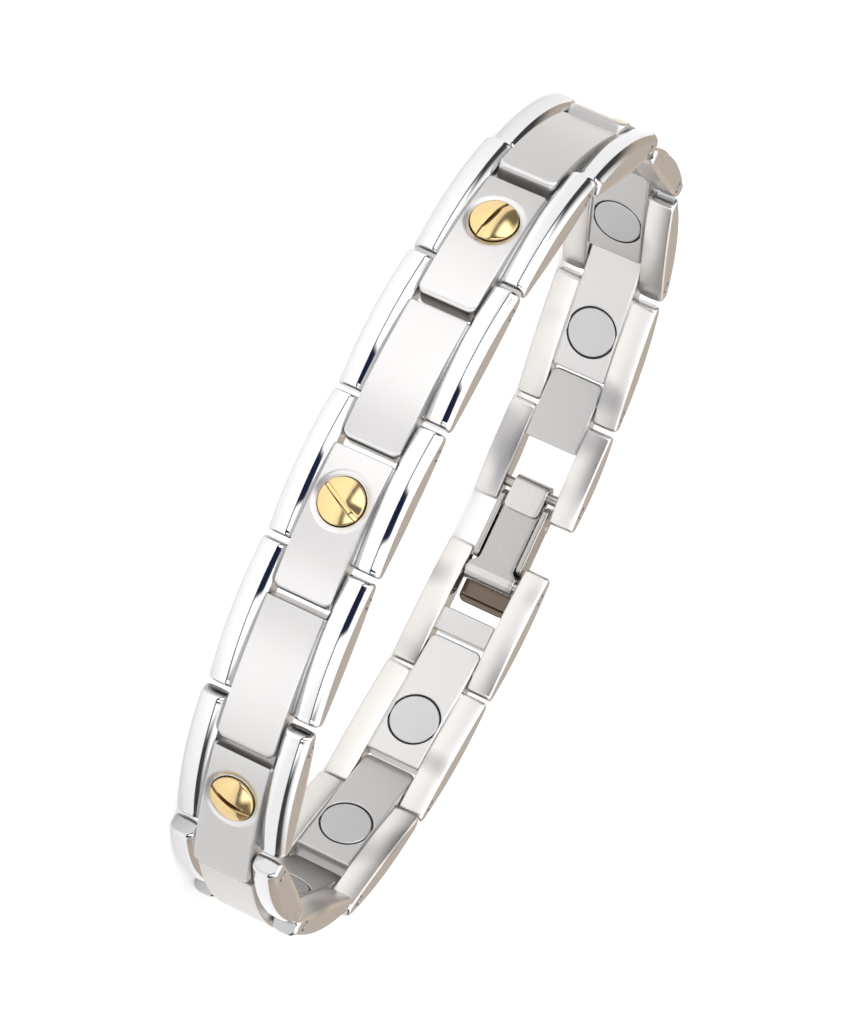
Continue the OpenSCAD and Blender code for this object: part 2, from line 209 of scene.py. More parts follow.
# %% The side outline of a bar
BAR_W = 2.6
BAR_MIDDLE = BAND_W / 2 - BAR_W / 2
BAR_CROWN, BAR_END_OUT = 2.0, 1.0
BAR_BELLY, BAR_END_IN = 1.1, 0.75
BEVEL = 0.5
ROUND = 9  # points on a round corner


def corner(centre, radius, start, stop, count):
    """An arc about a centre, between two angles in degrees, as points."""
    turn = np.radians(np.linspace(start, stop, count))
    return np.array(centre) + radius * np.stack([np.cos(turn), np.sin(turn)], axis=-1)


def side_outline(x0, x1, drop, rise, r_out=0.45, r_in=0.5):
    """The outline of a bar seen from its side: an arc above, an arc below, straight ends and four
    round corners. drop lowers the crown and rise lifts the belly."""
    half, mid = (x1 - x0) / 2, (x0 + x1) / 2
    crown_r = arc_radius(half, BAR_CROWN - BAR_END_OUT)
    belly_r = arc_radius(half, BAR_BELLY - BAR_END_IN)
    x_out = mid + (half - r_out) * np.linspace(-1, 1, 56)
    x_in = mid + (half - r_in) * np.linspace(1, -1, 48)
    top = arc_height(x_out, mid, BAR_CROWN, crown_r) - drop
    low = -arc_height(x_in, mid, BAR_BELLY, belly_r) + rise
    lean_out, lean_in = np.arcsin((half - r_out) / crown_r), np.arcsin((half - r_in) / belly_r)
    y_out, y_in = top[0] - r_out * np.cos(lean_out), low[0] + r_in * np.cos(lean_in)
    right_top = corner((mid + half - r_out, y_out), r_out, 90, 0, ROUND)
    right_low = corner((mid + half - r_in, y_in), r_in, 0, -90, ROUND)
    left_low = corner((mid - half + r_in, y_in), r_in, -90, -180, ROUND)
    left_top = corner((mid - half + r_out, y_out), r_out, 180, 90, ROUND)
    return np.vstack([
        np.stack([x_out, top], axis=-1), right_top[1:], right_low,
        np.stack([x_in, low], axis=-1)[1:], left_low[1:], left_top[:-1],
    ])


sample = side_outline(-1.8, 11.75, 0, 0)
corners = np.round([sample.min(axis=0), sample.max(axis=0)], 2).tolist()
print("bar outline:", len(sample), "points, between", corners)

# %% Carry the outline across the bar
ACROSS = np.array([
    0, 0.012, 0.04, 0.09, 0.16, 0.22, 0.27, 0.33, 0.39, 0.45,
    0.51, 0.57, 0.63, 0.69, 0.75, 0.81, 0.87, 0.95, 1.1, 1.3,
])
CREASE = 1.1
CROWN_FALL, BELLY_LIFT = 0.05, 0.16  # how far the outer and the inner face bend back at the sides
BELLY_ROUND, END_ROUND = 0.18, 0.3
TO_EDGE = [0, 0.002, 0.02, 0.12, 0.3, 0.6, 0.9, 0.985]
BORE_IN, EDGE_SHARE = 0.01, 0.75


def bar_rings(x0, x1, side, hole_x, hole_r):
    """Rings from the bore on the outer side face, out over that face, across the bar and back to
    the bore on the inner side face. At a distance d from a side the ring's ends move in by a round
    corner, its crown drops by the bevel and its belly lifts by a round edge."""
    levels = np.concatenate([ACROSS, BAR_W - ACROSS[-2::-1]])
    rings = []
    for level in levels:
        d = min(level, BAR_W - level)
        bend = (1 - d / (BAR_W / 2)) ** 2
        drop = bevelled(d, BEVEL, CREASE) + CROWN_FALL * bend
        rise = inset(d, BELLY_ROUND) + BELLY_LIFT * bend
        end = inset(d, END_ROUND)
        ring = side_outline(x0 + end, x1 - end, drop, rise)
        rings.append(np.column_stack([ring, np.full(len(ring), BAR_W / 2 - level)]))
    rings = np.array(rings)
    centre = np.array([hole_x, 0.0])

    def face(edge, shares):
        """Rings on a flat side face: shares of the way from the bore to the edge. A bore point's
        angle is three parts the angle of its edge point and one part an even spacing, so that far
        points don't crowd together."""
        away = edge[:, :2] - centre
        true = np.unwrap(np.arctan2(away[:, 1], away[:, 0]))
        even = np.sign(true[-1] - true[0]) * 2 * np.pi * np.arange(len(true)) / len(true)
        angle = EDGE_SHARE * true + (1 - EDGE_SHARE) * (even + np.mean(true - even))
        around = centre + hole_r * np.column_stack([np.cos(angle), np.sin(angle)])
        return [np.column_stack([around * (1 - t) + edge[:, :2] * t, edge[:, 2]]) for t in shares]

    first, last = face(rings[0], TO_EDGE), face(rings[-1], TO_EDGE[::-1])
    bore_in, bore_out = first[0] - [0, 0, BORE_IN], last[-1] + [0, 0, BORE_IN]
    whole = np.array([bore_in, *first, *rings, *last, bore_out])
    whole[..., 2] = side * (BAR_MIDDLE + whole[..., 2])
    return whole


def bars(name, x0, x1, hole_x, hole_r, station):
    """Both bars of a link, as two pieces."""
    made = []
    for side, word in ((1, "lower"), (-1, "upper")):
        rings = bar_rings(x0, x1, side, hole_x, hole_r)
        made.append(piece(f"{name}_bar_{word}", [(rings, "joined", "joined")], station))
    return made


print("rings of a bar, points and axes:", bar_rings(-1.8, 11.75, 1, 0.0, 0.55).shape)

# %% [markdown]
# ## Centre pieces
# A centre piece is a thick brushed plate, crowned along the chain, that ends in a tongue with
# rounded corners. A round dish outside holds a screw on every second link, and a round pocket
# inside holds a magnet. Cutting those with booleans leaves ragged edges, so the rings simply start
# at the middle of the dish as circles and turn into the plate's outline on their way out.

# %% The plan of a centre piece
TONGUE_W = 5.6
CROWN_TOP, CROWN_R, FLAT_IN = 2.0, 33.0, 0.8
EDGE_SIDE, EDGE_TIP, EDGE_IN = 0.1, 0.42, 0.2
NEAR_ROUND, TONGUE_ROUND = 0.2, 0.7
LEAST = 0.03  # the smallest corner that is drawn


def plan_outline(x0, x1, half, r_near, r_far, shrink):
    """A rectangle with round corners in the plane along and across the band, drawn smaller by
    shrink. It starts in the middle of its far end."""
    a0, a1, h = x0 + shrink, x1 - shrink, half - shrink
    n0, n1 = max(r_near - shrink, LEAST), max(r_far - shrink, LEAST)
    long_x = np.linspace(a1 - n1, a0 + n0, 60)
    end_z = np.linspace(0, h - n1, 12)
    near_z = np.linspace(h - n0, 0, 12)
    upper = np.vstack([
        np.stack([np.full(12, a1), end_z], axis=-1),
        corner((a1 - n1, h - n1), n1, 0, 90, ROUND)[1:],
        np.stack([long_x, np.full(60, h)], axis=-1)[1:],
        corner((a0 + n0, h - n0), n0, 90, 180, ROUND)[1:],
        np.stack([np.full(12, a0), near_z], axis=-1)[1:],
    ])
    lower = upper[-2:0:-1] * [1, -1]
    return np.vstack([upper, lower])


sample = plan_outline(2.5, 16, TONGUE_W / 2, NEAR_ROUND, TONGUE_ROUND, 0)
print("centre piece plan:", len(sample), "points")

# %% Rings over a centre piece
HEAD_X = 7.0
SEAT_R, DISH_R, DISH_DEPTH = 2.25, 2.85, 0.18
SEAT_DEPTH, DISH_EDGE = 0.57, 0.06
POCKET_R, POCKET_DEPTH = 2.65, 0.5
ARC = np.radians([0, 8, 22, 38, 54, 70, 84, 90])
OUTWARDS = (0.0, 0.08, 0.18, 0.3, 0.43, 0.57, 0.7, 0.83, 0.93, 1.0)
TIP_START, TIP_LONG = 0.75, 0.7  # where the round edge grows towards the tongue's tip
SCREW_DISH = (SEAT_R + 0.015, 2.32, 2.42, 2.52, 2.62, 2.72, 2.8, 2.86, 2.9, 2.94, 3.0)
PLAIN_TOP = (0.0, 0.3, 0.7, 1.2, 1.7, 2.2, 2.4)
SLIVER = 0.05  # a narrow band that keeps a round edge's shading off the flat beside it
HELD_IN, HELD_SHARE = 0.05, 0.015


def inward_of(outline):
    """The unit normal at each point of an outline that runs anticlockwise: its neighbours'
    difference, turned left."""
    ahead = np.roll(outline, -1, axis=0) - np.roll(outline, 1, axis=0)
    ahead /= np.linalg.norm(ahead, axis=1, keepdims=True)
    return np.stack([-ahead[:, 1], ahead[:, 0]], axis=-1)


def held(reach, far):
    """A reach kept within the edge: no more than the edge's own distance less a little, plus a small
    share of the reach, so that a wider ring still lies outside a narrower one."""
    return np.minimum(reach, far - HELD_IN + HELD_SHARE * reach)


def rays(edge, centre, reach):
    """The points at a given reach from the centre, in the directions of the edge's points, and
    just inside the edge where they would pass it."""
    away = edge - centre
    far = np.linalg.norm(away, axis=1, keepdims=True)
    return centre + away / far * held(reach, far)


def centre_rings(x0, x1, crown_x, r_near, r_far, middle_x, screw, magnet):
    """Rings from the middle of the outer face, over its edge, down the side and back to the middle
    of the inner face."""
    half = TONGUE_W / 2
    centre = np.array([middle_x, 0.0])

    def outer(plan, sunk=0.0):
        """Points of the plan raised to the crown, with the dish of a screw sunk into it."""
        height = arc_height(plan[:, 0], crown_x, CROWN_TOP, CROWN_R)
        if screw:
            out = np.linalg.norm(plan - [HEAD_X, 0], axis=1)
            height = height - DISH_DEPTH * smooth((DISH_R - out) / (DISH_R - SEAT_R))
        return np.column_stack([plan[:, 0], height - sunk, plan[:, 1]])

    def level(plan, y):
        """Points of the plan at one height."""
        return np.column_stack([plan[:, 0], np.full(len(plan), float(y)), plan[:, 1]])

    def edge(shrink):
        """The plan's outline, drawn smaller by shrink."""
        return plan_outline(x0, x1, half, r_near, r_far, shrink)

    side = edge(0)
    inward = inward_of(side)
    tip = smooth((side[:, :1] - x1 + TIP_START) / TIP_LONG) * (r_far == TONGUE_ROUND)
    round_over = EDGE_SIDE + (EDGE_TIP - EDGE_SIDE) * tip
    rim = side + inward * (round_over + SLIVER)
    rings = []
    seat = CROWN_TOP - SEAT_DEPTH
    if screw:
        rings += [level(rays(rim, centre, r), seat) for r in (0.0, SEAT_R * 0.7, SEAT_R)]
        rings.append(level(rays(rim, centre, SEAT_R), CROWN_TOP - DISH_DEPTH - DISH_EDGE))
    *circles, start = SCREW_DISH if screw else PLAIN_TOP
    rings += [outer(rays(rim, centre, r)) for r in circles]
    away = np.linalg.norm(rim - centre, axis=1, keepdims=True)
    unit = (rim - centre) / away
    for t in OUTWARDS:
        reach = held(start, away) * (1 - t) + away * t
        rings.append(outer(centre + unit * reach))
    for turn in ARC:
        plan = side + inward * round_over * (1 - np.sin(turn))
        rings.append(outer(plan, round_over[:, 0] * (1 - np.cos(turn))))
    rings += [outer(side, round_over[:, 0] + SLIVER), level(side, EDGE_IN - FLAT_IN + SLIVER)]
    for turn in ARC[::-1]:
        plan = edge(EDGE_IN * (1 - np.sin(turn)))
        rings.append(level(plan, EDGE_IN * (1 - np.cos(turn)) - FLAT_IN))
    rim = edge(EDGE_IN + SLIVER)
    away = np.linalg.norm(rim - centre, axis=1, keepdims=True)
    unit = (rim - centre) / away
    inner = POCKET_R + 0.08 if magnet else 0.0
    for t in (1.0, 0.8, 0.5, 0.2, 0.03):
        reach = held(inner, away) * (1 - t) + away * t
        rings.append(level(centre + unit * reach, -FLAT_IN))
    if magnet:
        for r, y in ((0.06, 0.0), (0.03, 0.012), (0.008, 0.04), (0, 0.08), (0, POCKET_DEPTH)):
            rings.append(level(rays(rim, centre, POCKET_R + r), y - FLAT_IN))
        rings.append(level(rays(rim, centre, POCKET_R * 0.6), POCKET_DEPTH - FLAT_IN))
    rings.append(level(rays(rim, centre, 0.0), (POCKET_DEPTH if magnet else 0.0) - FLAT_IN))
    return np.array(rings)


sample = centre_rings(2.5, 16, 8, NEAR_ROUND, TONGUE_ROUND, HEAD_X, True, True)
print("rings of a centre piece, points and axes:", sample.shape)

# %% [markdown]
# ## The seam
# Between a centre piece and its bars runs a fine groove with a strip of solder at its bottom. It
# is a thin wall whose top follows whichever neighbour is lower.

# %% Seam strips
SEAM_IN, SEAM_OUT, SEAM_FOOT, SEAM_SUNK = 2.7, 3.0, -0.62, 0.02
SEAM_POINTS, SEAM_NEAR, SEAM_FAR = 40, 0.05, 0.1


def seam_rings(x0, x1, crown_x, bar_x0, bar_x1, side):
    """A wall across the groove: its top is the lower of the plate's crown and the bar's bevel,
    less a little, and its foot is straight."""
    x = np.linspace(x0 + SEAM_NEAR, x1 - SEAM_FAR, SEAM_POINTS)
    mid, half = (bar_x0 + bar_x1) / 2, (bar_x1 - bar_x0) / 2
    bar_top = arc_height(x, mid, BAR_CROWN, arc_radius(half, BAR_CROWN - BAR_END_OUT)) - BEVEL
    plate_top = arc_height(x, crown_x, CROWN_TOP, CROWN_R) - EDGE_SIDE
    top = np.minimum(plate_top, bar_top) - SEAM_SUNK
    foot = np.full(SEAM_POINTS, SEAM_FOOT)
    outline = np.vstack([np.stack([x, top], axis=-1), np.stack([x[::-1], foot], axis=-1)])
    outline = np.roll(outline, -SEAM_POINTS // 2, axis=0)
    z = np.full(len(outline), float(side))
    return closed_ends(np.array([np.column_stack([outline, z * at]) for at in (SEAM_IN, SEAM_OUT)]))


# %% Build the fifteen links
BACK, REACH, GAP_FAR = 1.8, 2.0, 2.25
PLATE_START, WINDOW = 2.5, 5.0
PIN_HOLE, BAR_HOLE = 0.55, 0.6
EVEN_CROWN = 1.0  # a plate's crown stands this far past the middle between its pins
CATCH_CROWN, CLASP_CROWN = 6, 8.0  # before the far pin, and past the near one


def build_link(name, station, bar, plate, crown_x, r_far, hole, screw=False, magnet=False):
    """The centre piece, the seams and the bars of one link. bar and plate are (start, end) along
    the link, hole is (place, radius)."""
    middle_x = HEAD_X if magnet else sum(plate) / 2
    rings = centre_rings(*plate, crown_x, NEAR_ROUND, r_far, middle_x, screw, magnet)
    centre = piece(f"{name}_plate", [(rings, "pole", "pole")], station, replaces=[name])
    walls = [seam_rings(plate[0], min(bar[1], plate[1]), crown_x, *bar, side) for side in (1, -1)]
    seam = piece(f"{name}_seam", [(wall, "pole", "pole") for wall in walls], station)
    return centre, seam, bars(name, *bar, *hole, station)


built = []
for i in range(1, LINKS + 1):
    chord = chords[i + 1]
    built.append(build_link(
        f"link_{i:02d}", i + 1, bar=(-BACK, chord - GAP_FAR), plate=(PLATE_START, chord + REACH),
        crown_x=chord / 2 + EVEN_CROWN, r_far=TONGUE_ROUND, hole=(0.0, PIN_HOLE),
        screw=i % 2 == 1, magnet=True,
    ))
chord = chords[1]
built.append(build_link(
    "catch_link", 1, bar=(-GAP_FAR, chord - GAP_FAR), plate=(WINDOW, chord + REACH),
    crown_x=chord - CATCH_CROWN, r_far=TONGUE_ROUND, hole=(0.0, BAR_HOLE),
))
chord = chords[-1]
built.append(build_link(
    "clasp_link", LINKS + 2, bar=(-BACK, chord + GAP_FAR), plate=(PLATE_START, WINDOW),
    crown_x=CLASP_CROWN, r_far=NEAR_ROUND, hole=(chord, BAR_HOLE),
))
plates = [link[0] for link in built]
seams = [link[1] for link in built]
bar_pieces = [bar for link in built for bar in link[2]]
print("links:", len(plates), "centre pieces and", len(bar_pieces), "bars")

# %% [markdown]
# ## Pins
# The pins are plain turned rods. Only their ends show, as small spots on the bars' sides, a hair
# below the surface. A surface of revolution with a slightly domed end does it.

# %% Pins
def turned(profile, count=48):
    """A profile of (radius, height) pairs carried round the height axis, as rings about z."""
    profile = np.array(profile, float)
    turn = np.linspace(0, 2 * np.pi, count, endpoint=False)
    radius, height = profile[:, :1], profile[:, 1:]
    return np.stack([radius * np.cos(turn), radius * np.sin(turn), height + 0 * turn], axis=-1)


def upright(profile, count=96):
    """A profile carried round the outward axis through the head's and the magnet's place."""
    return turned(profile, count)[..., [0, 2, 1]] + [HEAD_X, 0, 0]


def rod_rings(x, y, radius, half, dome=0.008):
    """A rod across the band with domed ends and a small round edge."""
    shares = ((0, 0), (0.5, 0.25), (0.85, 0.8), (0.97, 1.3), (1, 2.5))
    side = [(radius * r, half - dome * down) for r, down in shares]
    profile = side + [(radius, 0)] + [(r, -h) for r, h in side[::-1]]
    return turned(profile) + [x, y, 0]


PIN_R, ROD_R, PIN_HALF = 0.5, 0.55, 5.45


def pin(name, radius, station, node):
    """One pin at a link's own first pin, which stands in for a CAD node."""
    parts = [(rod_rings(0, 0, radius, PIN_HALF), "pole", "pole")]
    return piece(name, parts, station, replaces=[node])


pin_pieces = [pin(f"pin_{i:02d}", PIN_R, i + 1, f"link_pin_{i:02d}") for i in range(1, LINKS + 2)]
pin_pieces += [pin("catch_rod", ROD_R, 1, "catch_bar"), pin("clasp_rod", ROD_R, 0, "clasp_pin")]
print("pins:", len(pin_pieces))

# %% [markdown]
# ## Gold screws
# A screw head is a low dome with one slot. A slot cuts straight across a round form, so the head
# is built in slices that lie along the slot: each slice is as long as the circle is wide there,
# its top follows the dome, and between the slot's two walls the top drops to the slot's floor.

# %% Screw heads
SCREW_R, SCREW_BASE, SCREW_RIM, SCREW_DOME = 2.15, 1.48, 0.6, 0.65
SLOT_W, SLOT_DEPTH, SLOT_LEAST = 0.42, 0.45, 0.16
SLOT_TURNS = [100, 35, -13, 63, 75, 140, 20]
WORN_W, WORN = 0.06, 0.04  # the slot's lips are worn down this far over this width
RIM_W, RIM_DROP = 0.08, 0.05
SLICE_POINTS = 41
SHANK_R, SHANK_FOOT = 1, 0.9
SHADE_IN, SHADE_OUT = 0.04, 0.005  # how far to each side of a slot's wall the painted shade reaches


def screw_rings(turn):
    """Slices across a slotted dome: the slice at z reaches the square root of R squared minus z
    squared to each side, and its top is the dome's height or the slot's floor."""
    w = SLOT_W / 2
    turns = np.array([10, 20, 30, 40, 50, 60, 68, 75, 81, 86, 88.5, 89.6])
    outer = SCREW_R * np.sin(np.radians(turns))
    inside = np.array([w + WORN_W, w + 0.02, w, w - 0.01, w - 0.03, w - 0.08, 0.03])
    z = np.concatenate([-outer[::-1], -inside, inside[::-1], outer])
    deep = np.abs(z) < w - 0.005
    soft = WORN * np.clip((w + WORN_W - np.abs(z)) / WORN_W, 0, 1) ** 2
    dome_r = arc_radius(SCREW_R, SCREW_DOME)
    share = np.sin(np.linspace(-np.pi / 2, np.pi / 2, SLICE_POINTS))
    rings = []
    for at, low, worn in zip(z, deep, soft):
        reach = np.sqrt(max(SCREW_R**2 - at**2, 0))
        x = share * reach
        out = np.hypot(x, at)
        top = arc_height(out, 0, SCREW_RIM + SCREW_DOME, dome_r) - worn
        top = top - RIM_DROP * np.clip((out - SCREW_R + RIM_W) / RIM_W, 0, 1) ** 2
        if low:
            top = np.minimum(top - SLOT_LEAST, SCREW_RIM + SCREW_DOME - SLOT_DEPTH)
        upper = np.stack([x, top], axis=-1)
        lower = np.stack([x[::-1], np.zeros(SLICE_POINTS)], axis=-1)
        ring = np.vstack([upper, lower]) + [0, SCREW_BASE]
        rings.append(np.column_stack([ring, np.full(len(ring), at)]))
    rings = np.array(rings)
    t = np.radians(turn)
    x, z = rings[..., 0].copy(), rings[..., 2].copy()
    rings[..., 0] = HEAD_X + x * np.cos(t) - z * np.sin(t)
    rings[..., 2] = -(x * np.sin(t) + z * np.cos(t))
    return rings


def paint_slot_shade(head, turn):
    """Marks the slot's walls on a finished head for painted shade: the attribute is 1 where the
    distance from the slot's middle line is about half its width."""
    grain = np.zeros(len(head.data.vertices) * 3, np.float32)
    head.data.attributes["grain"].data.foreach_get("vector", grain)
    x, z = grain[0::3] - HEAD_X, grain[2::3]
    t = np.radians(turn)
    across = np.abs(x * np.sin(t) + z * np.cos(t))
    walls = (across > SLOT_W / 2 - SHADE_IN) & (across < SLOT_W / 2 + SHADE_OUT)
    painted_slot_shade = head.data.attributes.new("painted_slot_shade", "FLOAT", "POINT")
    painted_slot_shade.data.foreach_set("value", walls.astype(np.float32))


screw_pieces = []
shank_top = SCREW_BASE + 0.01
shank = upright([(0, SHANK_FOOT), (SHANK_R, SHANK_FOOT), (SHANK_R, shank_top), (0, shank_top)], 48)
for i, turn in enumerate(SLOT_TURNS, 1):
    parts = [(closed_ends(screw_rings(turn)), "pole", "pole"), (shank, "pole", "pole")]
    screw_pieces.append(piece(f"screw_head_{i:02d}", parts, 2 * i, replaces=[f"screw_{i:02d}"]))
    paint_slot_shade(screw_pieces[-1], turn)
print("screws:", len(screw_pieces))

# %% [markdown]
# ## Magnets
# A magnet is a plated disc with a fine chamfer, pressed in flush with the inner face. The gap
# round it, and the gap round each screw's seat, hold a near-black ring: painted shade.

# %% Magnets
MAGNET_R, MAGNET_T = 2.5, 0.9
MAGNET_PROFILE = [
    (0, 0), (1.2, 0), (2.3, 0), (2.38, 0), (2.41, 0.004), (2.48, 0.075),
    (MAGNET_R, 0.12), (MAGNET_R, MAGNET_T), (0, MAGNET_T),
]
MAGNET_RING, SEAT_RING = (2.505, 2.648), (2.158, 2.242)  # inner and outer radius of the two gaps
MAGNET_RING_Y, SEAT_RING_Y = (0.05 - FLAT_IN, 0.4 - FLAT_IN), (CROWN_TOP - 0.56, CROWN_TOP - 0.42)


def painted_shade_ring(inner, outer, low, high):
    """A thin square ring about the outward axis, which fills a gap with painted shade."""
    return upright([(inner, low), (outer, low), (outer, high), (inner, high)])


shade_ring_pieces, magnet_pieces = [], []
for i in range(1, LINKS + 1):
    parts = [(painted_shade_ring(*MAGNET_RING, *MAGNET_RING_Y), "joined", "open")]
    if i % 2:
        parts.append((painted_shade_ring(*SEAT_RING, *SEAT_RING_Y), "joined", "open"))
    shade_ring_pieces.append(piece(f"shade_ring_{i:02d}", parts, i + 1))
for i in range(1, LINKS + 1):
    disc = upright([(r, y - FLAT_IN) for r, y in MAGNET_PROFILE])
    parts, node = [(disc, "pole", "pole")], f"magnet_{i:02d}"
    magnet_pieces.append(piece(f"magnet_disc_{i:02d}", parts, i + 1, replaces=[node]))
print("magnets:", len(magnet_pieces))

# %% [markdown]
# ## The clasp's leaf
# The leaf is one strip of sheet: it curls round the clasp pin as an eye, runs under the cover,
# steps up over the catch bar and folds back as a hook. Its middle line is drawn as arcs and
# straights, and a flat section with round edges is carried along it, wide at the eye.

# %% The leaf's middle line
SHUT, PIVOT_X, PIVOT_Y = chords[0], 6.6, 0.7
LEAF_T = 0.5
HOOK_R, EYE_R, STRIP_Y = 0.9, 0.85, -0.25
RAMP_X, JOGGLE_X = 1.9, 7.25
EYE_START, TAB_LONG = 12, 2.5


def tangent_turn(reach_x, reach_y, radius):
    """The angle between the line to a circle's centre and the tangent to that circle."""
    return np.arcsin(radius / np.hypot(reach_x, reach_y))


slope = tangent_turn(SHUT - JOGGLE_X, STRIP_Y, HOOK_R) + np.arctan2(-STRIP_Y, SHUT - JOGGLE_X)
fall = tangent_turn(RAMP_X, STRIP_Y, EYE_R) - np.arctan2(-STRIP_Y, RAMP_X)
curl = corner((0, 0), EYE_R, EYE_START, 270 + np.degrees(fall), 40)
hook = corner((SHUT, 0), HOOK_R, 90 + np.degrees(slope), -90, 36)
strip, tab = [[RAMP_X, STRIP_Y], [JOGGLE_X, STRIP_Y]], [[SHUT - TAB_LONG, -HOOK_R]]
line = np.vstack([curl, strip, hook, tab])


def spaced(points, gap):
    """The same line with evenly spaced points, and how far along it each of them lies."""
    length = np.r_[0, np.cumsum(np.linalg.norm(np.diff(points, axis=0), axis=1))]
    at = np.linspace(0, length[-1], int(length[-1] / gap))
    return np.stack([np.interp(at, length, points[:, k]) for k in (0, 1)], axis=-1), at


def eased(points, times):
    """Each inner point moved, several times, to the mean of itself, twice, and its neighbours."""
    for _ in range(times):
        points[1:-1] = (points[:-2] + 2 * points[1:-1] + points[2:]) / 4
    return points


line, run = spaced(line, 0.06)
line = eased(line, 10)
print("leaf length in mm:", round(float(run[-1]), 1), "points:", len(line))

# %% Carry the section along the leaf
EYE_HALF, STRIP_HALF, HOOK_LESS, HOOK_LONG = 2.6, 1.95, 0.1, 7.3  # half widths along the leaf
EYE_PAST, EYE_EASE, HOOK_EASE = 0.25, 0.9, 0.4
LEAF_EDGE, TAB_ROUND, END_EDGE = 0.09, 0.55, 0.1


def leaf_rings():
    """At each point of the middle line a flat ring: across the band by its width, and by its
    thickness along the line's normal. The width eases from the eye to the strip, and the tab's end
    is round."""
    tangent = np.gradient(line, axis=0)
    tangent /= np.linalg.norm(tangent, axis=1, keepdims=True)
    normal = np.stack([-tangent[:, 1], tangent[:, 0]], axis=-1)
    past = run - EYE_R * (np.radians(270 - EYE_START) + fall)
    to_end = run[-1] - run
    on_hook = np.clip((HOOK_LONG - to_end) / HOOK_EASE, 0, 1)
    half = EYE_HALF - (EYE_HALF - STRIP_HALF) * smooth((past - EYE_PAST) / EYE_EASE)
    half = half - HOOK_LESS * on_hook - inset(to_end, TAB_ROUND)
    thick = LEAF_T / 2 - inset(to_end, END_EDGE) - inset(run, END_EDGE)
    edge = np.radians([0, 22, 45, 68, 90])
    quarter = LEAF_EDGE * (np.stack([np.cos(edge), np.sin(edge)], axis=-1) - 1)
    across = np.linspace(1, -1, 9)[1:-1]
    rings = []
    for point, n, h, t in zip(line, normal, half, np.maximum(thick, LEAF_EDGE + 0.02)):
        side = quarter + [h, t]
        top = np.stack([across * (h - LEAF_EDGE), np.full(len(across), t)], axis=-1)
        upper = np.vstack([side, top, (side * [-1, 1])[::-1]])
        ring = np.vstack([upper, -upper])
        rings.append(np.column_stack([point + n * ring[:, 1:], ring[:, 0]]))
    return closed_ends(np.array(rings))


def blank_rings(outline, z_low, z_high, radius, hole=None):
    """A flat blank: an outline in the plane of the side, carried from z_low to z_high with round
    edges, and closed at its heart or run in through a round hole."""
    ahead = np.roll(outline, -1, axis=0)
    area = np.sum(outline[:, 0] * ahead[:, 1] - ahead[:, 0] * outline[:, 1])
    inward = inward_of(outline) * np.sign(area)
    rings = []
    for turn in np.radians([90, 75, 55, 35, 15, 0]):
        z = np.full(len(outline), z_low + radius * (1 - np.sin(turn)))
        rings.append(np.column_stack([outline + inward * radius * (1 - np.cos(turn)), z]))
    rings += [np.column_stack([r[:, :2], z_low + z_high - r[:, 2]]) for r in rings[::-1]]
    centre = np.array(hole[:2]) if hole else outline.mean(axis=0)
    size = hole[2] if hole else 0.0

    def face(edge, shares):
        """Rings on a flat face: shares of the way from the heart or the hole to the edge."""
        away = edge[:, :2] - centre
        reach = np.linalg.norm(away, axis=1, keepdims=True)
        reaches = [size + (reach - size) * t for t in shares]
        return [np.column_stack([centre + away / reach * r, edge[:, 2]]) for r in reaches]

    shares = [0, 0.03, 0.3, 0.7, 0.97]
    return np.array(face(rings[0], shares) + rings + face(rings[-1], shares[::-1]))


KNUCKLE_R, KNUCKLE_FOOT, KNUCKLE_EDGE = 0.6, -0.2, 0.05
knuckle = np.vstack([
    corner((PIVOT_X, PIVOT_Y), KNUCKLE_R, 180, 0, 25),
    [[PIVOT_X + KNUCKLE_R, KNUCKLE_FOOT], [PIVOT_X - KNUCKLE_R, KNUCKLE_FOOT]],
])
knuckle_rings = blank_rings(knuckle, -STRIP_HALF, STRIP_HALF, KNUCKLE_EDGE)
leaf_parts = [(leaf_rings(), "pole", "pole"), (knuckle_rings, "pole", "pole")]
leaf = piece("clasp_strip", leaf_parts, 0, replaces=["clasp_leaf"])
print("leaf vertices:", len(leaf.data.vertices))

# %% [markdown]
# ## The clasp's cover
# The cover is a folded channel: a crowned plate outside and a flange down each side, with round
# ears that turn on the pivot. The plate is carried across its width in the same way as a bar, and
# each flange is a blank with a hole for the pivot.

# %% The cover's plate and flanges
COVER_X0, COVER_X1, COVER_IN, COVER_OUT, COVER_RISE = -3.3, 6.1, 1.4, 2.0, 0.15
COVER_W, COVER_ROUND, COVER_EDGE = 5.4, 0.8, 0.3
LIP_LONG, LIP_DOWN, LIP_EASE = 0.7, 0.2, 0.15
EAR_R, FLANGE_T, FLANGE_X0, FLANGE_TOP, FLANGE_FOOT, FLANGE_ROUND = 2.15, 0.6, 1.3, 1.5, -0.9, 0.8
FLANGE_EDGE, PIVOT_HOLE, SHOULDER_X = 0.14, 0.4, (6.0, 6.12, 6.15)
PIVOT_R, PIVOT_HALF, PIVOT_DOME = 0.35, 2.65, 0.02


